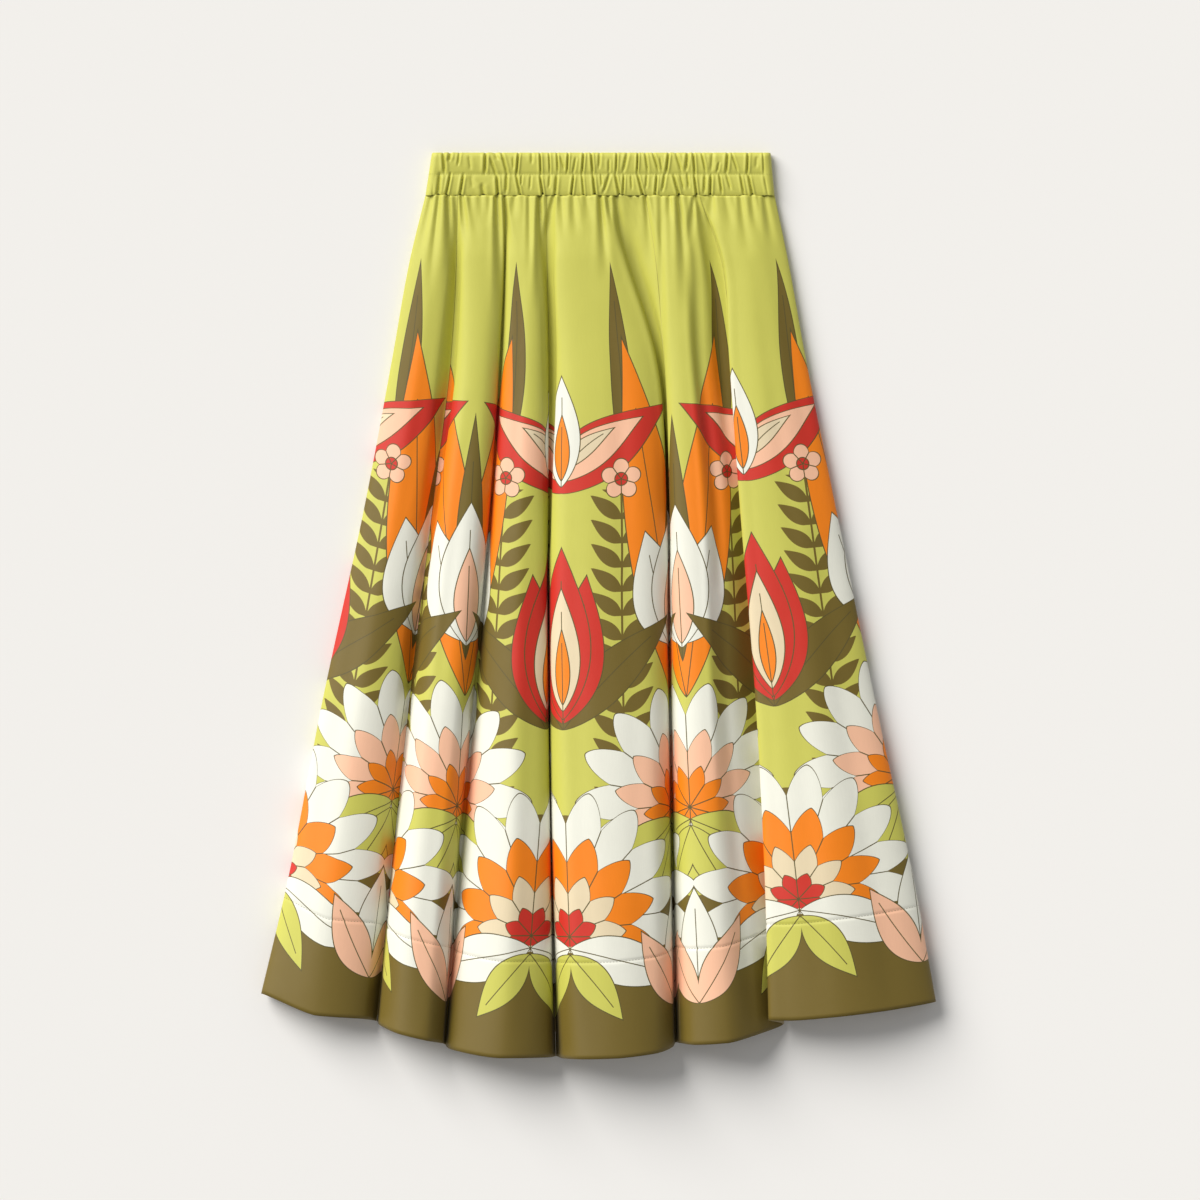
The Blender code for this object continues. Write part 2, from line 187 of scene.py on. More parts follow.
def hemDrop(place):
    last = len(foldLines) - 1
    index = np.clip(place.astype(int), 0, last - 1)
    flat = [np.stack([lineHem[np.clip(index + k, 0, last)], 0 * place], axis=1) for k in (-1, 0, 1, 2)]
    return throughPoints(*flat, place - index)[:, 0]


def columnPlaces():
    places = []
    for number, row in enumerate(foldLines):
        columns = row[5] * skirt["finerColumns"]
        shares = np.arange(columns) / max(columns, 1)
        places.extend(number + (1 - np.cos(np.pi * shares)) / 2)
    return np.array(places + [len(foldLines) - 1.0])


def arcAlong(points):
    # Length along each row of points, from its first one.
    steps = np.linalg.norm(np.diff(points, axis=1), axis=2)
    return np.hstack([np.zeros((len(points), 1)), np.cumsum(steps, axis=1)])


def normalsOf(points):
    # Outward normals of rows of points that run from left to right and from the waist down.
    along = np.gradient(points, axis=1)
    down = np.gradient(points, axis=0)
    normal = np.cross(along, down)
    return normal / np.maximum(np.linalg.norm(normal, axis=2, keepdims=True), 1e-9)


def windowed(drop, start, end):
    # 1 along most of a crease and a soft fade to 0 at both ends.
    t = np.clip((drop - start) / (end - start), 0, 1)
    return np.sin(np.pi * t) ** 0.6


# Creases that start at the waistband and fade down the front:
# across at the band, across at their end, length, depth, half width at the band and at their end
waistCreases = [
    (-166, -181, 70, 1.6, 2.2, 5),
    (-159, -170, 110, 1.9, 1.8, 5),
    (-150, -146, 90, 3.0, 1.9, 4.5),
    (-136, -130, 56, 2.6, 2.0, 4),
    (-127, -121, 60, 1.3, 3.0, 6),
    (-118, -115, 34, 1.6, 2.4, 5),
    (-108, -110, 30, 1.2, 1.8, 3),
    (-101, -96, 130, 3.7, 2.4, 5),
    (-94, -88, 62, 2.1, 1.5, 3.5),
    (-83, -84, 24, 1.5, 2.2, 4),
    (-69, -68, 80, 1.3, 1.6, 3),
    (-58.5, -57, 120, 4.3, 2.0, 4.5),
    (-44, -56, 60, 2.0, 1.6, 4),
    (-37, -33, 52, 1.4, 2.0, 4.5),
    (-25, -22, 44, 2.0, 2.0, 4.5),
    (-12, -8, 28, 1.5, 2.2, 4),
    (2, 9, 90, 3.5, 2.0, 5),
    (9.5, 13, 30, 1.6, 1.6, 3),
    (18, 27, 64, 2.9, 1.9, 4.5),
    (32, 36, 26, 1.6, 1.8, 3.5),
    (40, 42, 40, 1.9, 1.6, 3.5),
    (47, 55, 80, 2.6, 1.8, 4.5),
    (63, 65, 190, 1.6, 2.2, 4),
    (71, 71, 28, 1.6, 2.0, 4),
    (80.5, 90, 125, 4.1, 2.2, 6),
    (96, 90, 60, 1.8, 1.5, 4),
    (98, 114, 64, 2.6, 1.6, 3.6),
    (114, 114, 30, 2.0, 2.2, 4),
    (109, 122, 130, 1.9, 4.0, 9),
    (127, 134, 36, 1.4, 2.0, 4),
    (142, 151, 66, 1.7, 2.0, 6),
    (153, 158, 40, 1.8, 2.0, 4.5),
    (166, 176, 58, 2.1, 1.8, 4.5),
]


def waistSink(across, drop):
    # How far the creases below the waistband sink the cloth, less the rise of their two lips.
    below = np.maximum(drop - skirt["stations"][0], 0)
    sunk = np.zeros_like(across)
    for start, end, length, depth, topHalf, endHalf in waistCreases:
        t = np.clip(below / length, 0, 1)
        distance = np.abs(across - start - (end - start) * t) / (topHalf + (endHalf - topHalf) * t)
        lip = skirt["lipRise"] * np.exp(-((distance - skirt["lipPlace"]) ** 2))
        groove = np.exp(-(distance**2)) - lip
        sunk += depth * (1 - t * t) ** 1.5 * groove
    return sunk


hem = {
    "stitchAbove": 96.0,
    "stitchDepth": 0.7,
    "stitchHalfWidth": 1.5,
    "stitchStep": 3.2,
    "stitchShare": 0.62,  # of the step that one stitch fills
    "stitchThick": 0.36,
    "stitchLift": 0.12,
    "rows": 22,
    "seamRows": 7,
    "plainColumns": 4,  # columns without stitches at both ends
    "rowsLevelFrom": 0.8,  # share of the length from where the rows turn level with the hem
}


def rowsDown(hems, rows):
    # Shares and drops of the rows down a sheet. They are close together across the hem's seam,
    # and level with the hem there.
    top = skirt["stations"][0] + skirt["seamGap"] / 2
    run = hems.max() - top
    seam = 1 - hem["stitchAbove"] / run
    close = hem["stitchHalfWidth"] / run
    above, below = seam - 3 * close, seam + 3 * close
    shares = np.concatenate([
        np.linspace(0, 1, rows) ** skirt["rowsCrowding"] * above,
        seam + close * np.linspace(-2, 2, hem["seamRows"]),
        np.linspace(below, 1, hem["rows"]),
    ])
    plain = top + (hems[None, :] - top) * shares[:, None]
    level = hems[None, :] - (1 - shares[:, None]) * run
    turning = (shares[:, None] - hem["rowsLevelFrom"]) / (above - hem["rowsLevelFrom"])
    return shares, plain + (level - plain) * np.clip(turning, 0, 1)


# Soft creases: fold line, offset across, from drop, to drop, depth (less than 0 is a ridge),
# half width, drift across by the end
softCreases = [
    ("A crest", -12, 300, 850, 1.3, 13, -18),
    ("A crest", 9, 110, 430, 0.9, 7, 3),
    ("B left crest", 10, 240, 640, 1.0, 7, -3),
    ("B right crest", -6, 520, 880, 1.2, 9, -4),
    ("C crest", 10, 330, 890, 1.5, 11, 8),
    ("C crest", -5, 110, 380, 0.9, 6, -3),
    ("D left crest", 8, 300, 905, 1.5, 12, 10),
    ("D crest", 14, 150, 520, 1.3, 10, 9),
    ("D crest", 26, 480, 905, 1.2, 12, 10),
    ("E crest", 3, 30, 680, -1.4, 4.5, 3),
    ("E crest", 18, 260, 880, 1.4, 9, 10),
    ("E right flank", -6, 60, 440, 3.4, 6, -1),
    ("E-F valley", -13, 60, 340, 3.4, 5.5, 2),
    ("A-B valley", 6, 50, 420, 3.4, 5.5, 0),
    ("C-D valley", 8, 46, 400, 4.4, 6, 0),
    ("C-D valley", -9, 60, 420, -2.6, 4.5, 0),
    ("D-E valley", 7, 60, 420, 4.2, 5.5, 0),
    ("D-E valley", -11, 60, 440, -2.8, 5, 0),
    ("F left crest", 20, 260, 870, 1.8, 15, 14),
    ("F crest", 6, 110, 470, 1.2, 10, 8),
    ("F crest", 34, 380, 860, 1.7, 16, 22),
    ("F right crest", 8, 90, 320, 0.8, 7, 8),
]


def frontSheet():
    # The whole front as rows of (across, drop, height), and each column's place.
    places = columnPlaces()
    hems = hemDrop(places)
    shares, drops = rowsDown(hems, skirt["rows"])
    section = sectionPoint(np.tile(places, len(shares)), drops.ravel()).reshape(*drops.shape, 2)
    points = np.stack([section[..., 0], drops, section[..., 1]], axis=2)
    fromSide = np.minimum(places, len(foldLines) - 1 - places)
    edge = np.clip(fromSide - skirt["plainSides"], 0, 1)[None, :]
    points[..., 2] -= waistSink(points[..., 0], points[..., 1]) * edge
    nearSeam = np.exp(-(((drops - drops[0]) / band["footReach"]) ** 2))
    points[..., 1] -= footWave(points[..., 0]) * nearSeam * edge
    arc = arcAlong(points)
    push = np.zeros(arc.shape)
    for line, offset, start, end, depth, half, drift in softCreases:
        column = int(np.argmin(abs(places - lineNames.index(line))))
        t = np.clip((drops - start) / (end - start), 0, 1)
        distance = (arc - arc[:, column : column + 1] - offset - drift * t) / half
        push -= depth * windowed(drops, start, end) * np.exp(-(distance**2))
    stitchRow = drops - (hems[None, :] - hem["stitchAbove"])
    push -= hem["stitchDepth"] * np.exp(-((stitchRow / hem["stitchHalfWidth"]) ** 2))
    points += normalsOf(points) * (push * edge)[..., None]
    return places, shares, points


def metres(points):
    across, drop, height = np.moveaxis(np.asarray(points, float), -1, 0)
    return np.stack(
        [(across - skirt["middleX"]) * mm, (skirt["length"] / 2 - drop) * mm, height * mm], axis=-1
    )


def objectOf(name, mesh, materials, smooth=True):
    for face in mesh.faces:
        face.smooth = smooth
    data = bpy.data.meshes.new(name)
    mesh.to_mesh(data)
    mesh.free()
    for material in materials:
        data.materials.append(material)
    obj = bpy.data.objects.new(name, data)
    bpy.context.scene.collection.objects.link(obj)
    return obj


def sheetObject(name, points, flatPlaces, materials, closed=False):
    # A grid whose points are moved to the rows given, with a map of its flat cloth in metres.
    # A closed one meets itself round both ways, like the waistband.
    rows, columns = points.shape[:2]
    mesh = bmesh.new()
    bmesh.ops.create_grid(mesh, x_segments=columns - 1, y_segments=rows - 1, size=1.0)
    grid = np.array([v.co[:2] for v in mesh.verts])
    column = np.rint((grid[:, 0] + 1) / 2 * (columns - 1)).astype(int)
    row = np.rint((1 - grid[:, 1]) / 2 * (rows - 1)).astype(int)
    places = metres(points)[row, column]
    for vert, place in zip(mesh.verts, places):
        vert.co = place
    flat = (flatPlaces * mm)[row, column]
    layer = mesh.loops.layers.uv.new("cloth")
    for face in mesh.faces:
        for loop in face.loops:
            loop[layer].uv = flat[loop.vert.index]
    if closed:
        bmesh.ops.remove_doubles(mesh, verts=list(mesh.verts), dist=1e-7)
    return objectOf(name, mesh, materials)


def giveThickness(obj, thickness):
    wall = obj.modifiers.new("cloth", "SOLIDIFY")
    wall.thickness = thickness * mm
    wall.offset = -1.0
    wall.use_even_offset = False
    wall.use_quality_normals = True
    wall.material_offset = 1
    wall.material_offset_rim = 1


# Materials: small helpers for nodes, then groups for what more than one material uses.
def newTree(name, inputs, outputs):
    # Inputs have a number each, or None for a vector. Outputs are numbers, but for Color.
    tree = bpy.data.node_groups.new(name, "ShaderNodeTree")
    for label, value in inputs.items():
        kind = "NodeSocketVector" if value is None else "NodeSocketFloat"
        socket = tree.interface.new_socket(label, in_out="INPUT", socket_type=kind)
        if value is not None:
            socket.default_value = value
    for label in outputs:
        kind = "NodeSocketColor" if label == "Color" else "NodeSocketFloat"
        tree.interface.new_socket(label, in_out="OUTPUT", socket_type=kind)
    enter = tree.nodes.new("NodeGroupInput")
    leave = tree.nodes.new("NodeGroupOutput")
    return tree, enter.outputs, leave.inputs


def feed(tree, socket, value):
    if isinstance(value, bpy.types.NodeSocket):
        tree.links.new(value, socket)
    else:
        socket.default_value = value


def calc(tree, operation, *values, clamp=False):
    node = tree.nodes.new("ShaderNodeMath")
    node.operation = operation
    node.use_clamp = clamp
    for socket, value in zip(node.inputs, values):
        feed(tree, socket, value)
    return node.outputs[0]


def blendColour(tree, share, under, over):
    node = tree.nodes.new("ShaderNodeMix")
    node.data_type = "RGBA"
    feed(tree, node.inputs["Factor"], share)
    feed(tree, node.inputs["A"], under)
    feed(tree, node.inputs["B"], over)
    return node.outputs["Result"]


def placeGroup(tree, group, values):
    node = tree.nodes.new("ShaderNodeGroup")
    node.node_tree = group
    for label, value in values.items():
        feed(tree, node.inputs[label], value)
    return node.outputs


def addBump(tree, height, strength, depth):
    node = tree.nodes.new("ShaderNodeBump")
    node.inputs["Strength"].default_value = strength
    node.inputs["Distance"].default_value = depth * mm
    tree.links.new(height, node.inputs["Height"])
    return node


def linear(colour):
    # The linear value of a colour as a screen shows it, from 0 to 255.
    values = [c / 255 for c in colour]
    return tuple(v / 12.92 if v <= 0.04045 else ((v + 0.055) / 1.055) ** 2.4 for v in values) + (1.0,)


printLines = {
    "width": 1.1,  # millimetres, round each motif of the print
    "ribHalf": 0.45,  # half width of a leaf's rib, of that
    "ribReach": 0.8,  # how far along a leaf its rib runs
}

printColours = {
    "ground": (0.565, 0.55, 0.095, 1.0),
    "deep": linear((111, 93, 30)),
    "orange": (0.88, 0.22, 0.0, 1.0),
    "white": (0.81, 0.805, 0.70, 1.0),
    "pink": linear((244, 190, 156)),
    "crimson": linear((202, 44, 28)),
    "cream": linear((226, 208, 172)),
    "ink": linear((88, 78, 34)),
}


def leafGroup():
    # A leaf or petal from the origin along X: wide in the middle, pointed at its end.
    inputs = {"X": 0.0, "Y": 0.0, "Length": 60.0, "Width": 20.0, "Bend": 0.0, "Rib": 1.0}
    tree, i, o = newTree("leaf shape", {**inputs, "Line": printLines["width"]}, ["Fill", "Line"])
    t = calc(tree, "DIVIDE", i["X"], i["Length"], clamp=True)
    sag = calc(tree, "MULTIPLY", i["Bend"], calc(tree, "MULTIPLY", t, t))
    side = calc(tree, "ABSOLUTE", calc(tree, "SUBTRACT", i["Y"], sag))
    belly = calc(tree, "SINE", calc(tree, "MULTIPLY", math.pi, calc(tree, "POWER", t, 0.8)))
    half = calc(tree, "MULTIPLY", calc(tree, "MULTIPLY", i["Width"], 0.5), belly)
    fill = calc(tree, "LESS_THAN", side, half)
    edge = calc(tree, "GREATER_THAN", side, calc(tree, "SUBTRACT", half, i["Line"]))
    ribHalf = calc(tree, "MULTIPLY", i["Rib"], calc(tree, "MULTIPLY", i["Line"], printLines["ribHalf"]))
    ribReach = calc(tree, "LESS_THAN", t, printLines["ribReach"])
    rib = calc(tree, "MULTIPLY", calc(tree, "LESS_THAN", side, ribHalf), ribReach)
    tree.links.new(fill, o["Fill"])
    tree.links.new(calc(tree, "MULTIPLY", fill, calc(tree, "MAXIMUM", edge, rib)), o["Line"])
    return tree


def petalGroup():
    # Petals round the origin. Depth is how far the notches between them reach in.
    inputs = {"X": 0.0, "Y": 0.0, "Radius": 60.0, "Petals": 8.0, "Depth": 0.25, "Tip": 2.0, "Turn": 0.0}
    tree, i, o = newTree("ring of petals", {**inputs, "Line": printLines["width"]}, ["Fill", "Line"])
    x2 = calc(tree, "MULTIPLY", i["X"], i["X"])
    radius = calc(tree, "SQRT", calc(tree, "MULTIPLY_ADD", i["Y"], i["Y"], x2))
    angle = calc(tree, "ARCTAN2", i["Y"], i["X"])
    petalsPerRadian = calc(tree, "MULTIPLY", i["Petals"], 0.5 / math.pi)
    turns = calc(tree, "MULTIPLY", calc(tree, "ADD", angle, i["Turn"]), petalsPerRadian)
    fromMiddle = calc(tree, "SUBTRACT", calc(tree, "FRACT", turns), 0.5)
    offPetal = calc(tree, "MULTIPLY", 2.0, calc(tree, "ABSOLUTE", fromMiddle))
    notch = calc(tree, "MULTIPLY", i["Depth"], calc(tree, "POWER", offPetal, i["Tip"]))
    edge = calc(tree, "MULTIPLY", i["Radius"], calc(tree, "SUBTRACT", 1.0, notch))
    fill = calc(tree, "LESS_THAN", radius, edge)
    rim = calc(tree, "GREATER_THAN", radius, calc(tree, "SUBTRACT", edge, i["Line"]))
    petalWidth = calc(tree, "DIVIDE", radius, i["Petals"])
    fromCut = calc(tree, "MULTIPLY", calc(tree, "SUBTRACT", 1.0, offPetal), petalWidth)
    cut = calc(tree, "LESS_THAN", fromCut, calc(tree, "MULTIPLY", i["Line"], 0.5 / math.pi))
    tree.links.new(fill, o["Fill"])
    tree.links.new(calc(tree, "MULTIPLY", fill, calc(tree, "MAXIMUM", rim, cut)), o["Line"])
    return tree


leafShape = leafGroup()
petalRing = petalGroup()

# The print, painted from the first row to the last. Each motif comes again across the cloth, and is a leaf
# where it has no shape.
# at: place across and distance down from the waist seam; turn: degrees from across towards the waist;
# every: distance to the next one, if it isn't printRepeat; mirror: drawn on both sides of its middle;
# above: only the part over this line, on the motif's own Y; leaflet: a fern's, length, width and turn.
printRepeat = 244.0
printMotifs = [
    # Ferns climb between the plants, and slim olive leaves point at the waist.
    dict(at=(121, 262), every=122, turn=87, size=(196, 22), bend=10, fill="deep"),
    dict(
        shape="fern", at=(121, 610), every=122, turn=90, size=318,
        leaflet=(40, 15, 52), step=24, fill="deep",
    ),
    # Tall orange leaves rise beside each tulip.
    dict(at=(62, 506), turn=80, size=(372, 62), bend=8, fill="orange", mirror=True),
    dict(at=(60, 470), turn=90, size=(250, 30), fill="deep"),
    # Tulips
    dict(at=(60, 452), turn=62, size=(122, 60), bend=22, fill="white", mirror=True),
    dict(at=(60, 456), turn=90, size=(146, 62), fill="white"),
    dict(at=(60, 452), turn=90, size=(96, 30), fill="pink"),
    # Crimson buds stand between broad olive leaves.
    dict(at=(182, 530), turn=52, size=(158, 46), bend=-24, fill="deep", mirror=True),
    dict(at=(182, 524), turn=74, size=(150, 56), bend=16, fill="crimson", mirror=True),
    dict(at=(182, 520), turn=90, size=(172, 60), fill="crimson"),
    dict(at=(182, 512), turn=90, size=(124, 38), fill="cream"),
    dict(at=(182, 506), turn=90, size=(78, 17), fill="orange"),
    # Paisleys open like a pair of wings, with a flame between them.
    dict(at=(182, 296), turn=56, size=(136, 62), bend=-46, fill="crimson", mirror=True, rib=0.0),
    dict(at=(184, 284), turn=56, size=(100, 40), bend=-34, fill="pink", mirror=True, rib=0.0),
    dict(at=(186, 272), turn=56, size=(64, 20), bend=-20, fill="cream", mirror=True),
    dict(at=(182, 290), turn=90, size=(112, 40), fill="white"),
    dict(at=(182, 284), turn=90, size=(68, 18), fill="orange"),
    # Small blossoms
    dict(shape="ring", at=(121, 282), every=122, size=21, petals=5, depth=0.34, tip=2.0, fill="pink"),
    dict(shape="ring", at=(121, 282), every=122, size=7, petals=5, depth=0.0, tip=2.0, fill="crimson"),
    # The olive hem rises in scallops behind the big flowers.
    dict(shape="scallop", at=(182, 660), size=(122, 46), fill="deep"),
    # Water lilies stand in two rows, open towards the waist.
    dict(shape="ring", at=(60, 602), size=112, petals=14, depth=0.30, tip=1.5, fill="white", above=-34),
    dict(shape="ring", at=(60, 610), size=74, petals=12, depth=0.34, tip=1.3, fill="pink", above=-22),
    dict(shape="ring", at=(60, 616), size=43, petals=10, depth=0.36, tip=1.2, fill="orange", above=-12),
    dict(at=(60, 628), turn=-24, size=(112, 46), bend=-12, fill="ground", mirror=True),
    dict(at=(60, 634), turn=-66, size=(96, 36), bend=8, fill="ground", mirror=True),
    dict(shape="ring", at=(182, 716), size=126, petals=16, depth=0.26, tip=1.6, fill="white", above=-34),
    dict(shape="ring", at=(182, 724), size=90, petals=12, depth=0.30, tip=1.3, fill="orange", above=-24),
    dict(shape="ring", at=(182, 730), size=58, petals=10, depth=0.34, tip=1.2, fill="cream", above=-16),
    dict(shape="ring", at=(182, 734), size=30, petals=8, depth=0.30, tip=1.2, fill="crimson", above=-10),
    dict(at=(182, 746), turn=-12, size=(126, 48), bend=-14, fill="white", mirror=True),
    dict(at=(182, 752), turn=-48, size=(84, 36), bend=-6, fill="ground", mirror=True),
    dict(at=(60, 812), turn=90, size=(116, 46), fill="white"),
    dict(at=(60, 814), turn=52, size=(96, 38), bend=12, fill="pink", mirror=True),
]


def turned(tree, x, y, degrees):
    cos, sin = math.cos(math.radians(degrees)), math.sin(math.radians(degrees))
    along = calc(tree, "MULTIPLY_ADD", x, cos, calc(tree, "MULTIPLY", y, sin))
    aside = calc(tree, "MULTIPLY_ADD", y, cos, calc(tree, "MULTIPLY", x, -sin))
    return along, aside


def paintMotif(tree, colour, u, v, motif):
    across, down = motif["at"]
    half = motif.get("every", printRepeat) / 2
    x = calc(tree, "WRAP", calc(tree, "SUBTRACT", u, across), half, -half)
    y = calc(tree, "SUBTRACT", down, v)
    if motif.get("mirror"):
        x = calc(tree, "ABSOLUTE", x)
    shape = motif.get("shape", "leaf")
    if shape == "scallop":
        reach, rise = motif["size"]
        wave = calc(tree, "COSINE", calc(tree, "MULTIPLY", x, math.pi / reach))
        fill = calc(tree, "LESS_THAN", y, calc(tree, "MULTIPLY", wave, rise))
        return blendColour(tree, fill, colour, printColours[motif["fill"]])
    if shape == "leaf":
        along, aside = turned(tree, x, y, motif["turn"])
        length, width = motif["size"]
        values = {"X": along, "Y": aside, "Length": length, "Width": width}
        values.update({"Bend": motif.get("bend", 0.0), "Rib": motif.get("rib", 1.0)})
        masks = placeGroup(tree, leafShape, values)
        fill, line = masks["Fill"], masks["Line"]
    elif shape == "ring":
        values = {"X": x, "Y": y, "Radius": motif["size"], "Petals": motif["petals"]}
        values.update({"Depth": motif["depth"], "Tip": motif["tip"], "Turn": math.pi / 2})
        masks = placeGroup(tree, petalRing, values)
        fill, line = masks["Fill"], masks["Line"]
    else:
        along, aside = turned(tree, x, y, motif["turn"])
        fromStem = calc(tree, "ABSOLUTE", aside)
        length, width, turn = motif["leaflet"]
        inside = calc(tree, "COMPARE", along, motif["size"] / 2, motif["size"] / 2)
        stem = calc(tree, "LESS_THAN", fromStem, printLines["width"])
        leafAlong, leafAside = turned(tree, calc(tree, "WRAP", along, motif["step"], 0.0), fromStem, turn)
        values = {"X": leafAlong, "Y": leafAside, "Length": length, "Width": width, "Rib": 0.0}
        masks = placeGroup(tree, leafShape, values)
        fill = calc(tree, "MULTIPLY", inside, calc(tree, "MAXIMUM", stem, masks["Fill"]))
        return blendColour(tree, fill, colour, printColours[motif["fill"]])
    if "above" in motif:
        over = calc(tree, "GREATER_THAN", y, motif["above"])
        fill = calc(tree, "MULTIPLY", fill, over)
        line = calc(tree, "MULTIPLY", line, over)
    colour = blendColour(tree, fill, colour, printColours[motif["fill"]])
    return blendColour(tree, line, colour, printColours["ink"])


def printGroup():
    tree, i, o = newTree("flower print", {"Cloth": None}, ["Color"])
    parts = tree.nodes.new("ShaderNodeSeparateXYZ")
    tree.links.new(i["Cloth"], parts.inputs[0])
    u = calc(tree, "MULTIPLY", parts.outputs[0], 1 / mm)
    v = calc(tree, "MULTIPLY", parts.outputs[1], 1 / mm)
    colour = printColours["ground"]
    for motif in printMotifs:
        colour = paintMotif(tree, colour, u, v, motif)
    tree.links.new(colour, o["Color"])
    return tree


def weaveGroup():
    # Fine threads for bump, and soft uneven patches where the cloth has been handled.
    inputs = {"Cloth": None, "Thread": 0.5, "Patch": 9.0}
    tree, i, o = newTree("cotton weave", inputs, ["Height", "Patches", "Slub"])
    parts = tree.nodes.new("ShaderNodeSeparateXYZ")
    tree.links.new(i["Cloth"], parts.inputs[0])
    turns = calc(tree, "DIVIDE", 2 * math.pi / mm, i["Thread"])
    warp = calc(tree, "SINE", calc(tree, "MULTIPLY", parts.outputs[0], turns))
    weft = calc(tree, "SINE", calc(tree, "MULTIPLY", parts.outputs[1], turns))
    patches = tree.nodes.new("ShaderNodeTexNoise")
    tree.links.new(i["Cloth"], patches.inputs["Vector"])
    tree.links.new(i["Patch"], patches.inputs["Scale"])
    patches.inputs["Detail"].default_value = 3.0
    stretched = tree.nodes.new("ShaderNodeMapping")
    stretched.inputs["Scale"].default_value = (900.0, 60.0, 1.0)  # slubs run down the cloth
    tree.links.new(i["Cloth"], stretched.inputs["Vector"])
    slub = tree.nodes.new("ShaderNodeTexNoise")
    tree.links.new(stretched.outputs[0], slub.inputs["Vector"])
    slub.inputs["Scale"].default_value = 1.0
    tree.links.new(calc(tree, "MULTIPLY", warp, weft), o["Height"])
    tree.links.new(patches.outputs["Fac"], o["Patches"])
    tree.links.new(slub.outputs["Fac"], o["Slub"])
    return tree


print("building the print and the weave")
flowerPrint = printGroup()
cottonWeave = weaveGroup()

finish = {
    "roughness": 0.52,
    "wrongSideRoughness": 0.75,
    "wrongSideFade": 0.45,
    "threadRoughness": 0.5,
    "bandThread": linear((176, 176, 84)),
    "hemThread": linear((96, 86, 44)),
    "patchTone": (0.10, 0.95),  # how much the patches vary the colour, and the colour's share under them
    "slubTone": 0.06,
    "patchRoughness": 0.12,
    "shader": {"Sheen Weight": 0.06, "Sheen Roughness": 0.4, "Specular IOR Level": 0.42},
    "threads": (0.5, 0.04),  # strength of the relief, and its depth in millimetres
    "waves": (0.35, 2.0),
}


def clothMaterial(name, colour, roughness, fade=0.0):
    # colour is a fixed colour, or None for the print. fade pales it, as on the cloth's wrong side.
    material = bpy.data.materials.new(name)
    material.use_nodes = True
    tree = material.node_tree
    shader = tree.nodes["Principled BSDF"]
    cloth = tree.nodes.new("ShaderNodeUVMap")
    cloth.uv_map = "cloth"
    weave = placeGroup(tree, cottonWeave, {"Cloth": cloth.outputs[0]})
    base = placeGroup(tree, flowerPrint, {"Cloth": cloth.outputs[0]})["Color"] if colour is None else colour
    if fade:
        base = blendColour(tree, fade, base, printColours["cream"])
    tone = calc(tree, "MULTIPLY_ADD", weave["Patches"], *finish["patchTone"])
    tone = calc(tree, "SUBTRACT", tone, finish["slubTone"] / 2)
    tone = calc(tree, "MULTIPLY_ADD", weave["Slub"], finish["slubTone"], tone)
    toned = tree.nodes.new("ShaderNodeVectorMath")
    toned.operation = "SCALE"
    feed(tree, toned.inputs[0], base if isinstance(base, bpy.types.NodeSocket) else base[:3])
    tree.links.new(tone, toned.inputs["Scale"])
    tree.links.new(toned.outputs[0], shader.inputs["Base Color"])
    spread = finish["patchRoughness"]
    rough = calc(tree, "MULTIPLY_ADD", weave["Patches"], spread, roughness - spread / 2)
    tree.links.new(rough, shader.inputs["Roughness"])
    for label, value in finish["shader"].items():
        shader.inputs[label].default_value = value
    threads = addBump(tree, weave["Height"], *finish["threads"])
    waves = addBump(tree, weave["Patches"], *finish["waves"])
    tree.links.new(threads.outputs[0], waves.inputs["Normal"])
    tree.links.new(waves.outputs[0], shader.inputs["Normal"])
    return material


wrongSideLook = (None, finish["wrongSideRoughness"], finish["wrongSideFade"])
printedCloth = clothMaterial("printed cotton", None, finish["roughness"])
wrongSide = clothMaterial("printed cotton, wrong side", *wrongSideLook)
bandCloth = clothMaterial("waistband cotton", printColours["ground"], finish["roughness"])
threadPale = clothMaterial("pale thread", finish["bandThread"], finish["threadRoughness"])
threadDark = clothMaterial("olive thread", finish["hemThread"], finish["threadRoughness"])


def dressed(obj, node):
    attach(obj, "root")
    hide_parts(node)


back = {
    "middleHem": 879.0,
    "sideHem": 840.0,
    "turn": 14.0,  # how far in from the side seams it starts to rise
    "mirror": 5.0,  # its gathers are the front's, mirrored and moved this far
    "gatherShare": 0.32,
    "seamDepth": 0.5,
    "printFrom": 600.0,
    "sideCrowding": 1.25,  # more brings its columns closer together at the sides
    "columns": 260,
    "rows": 120,
}


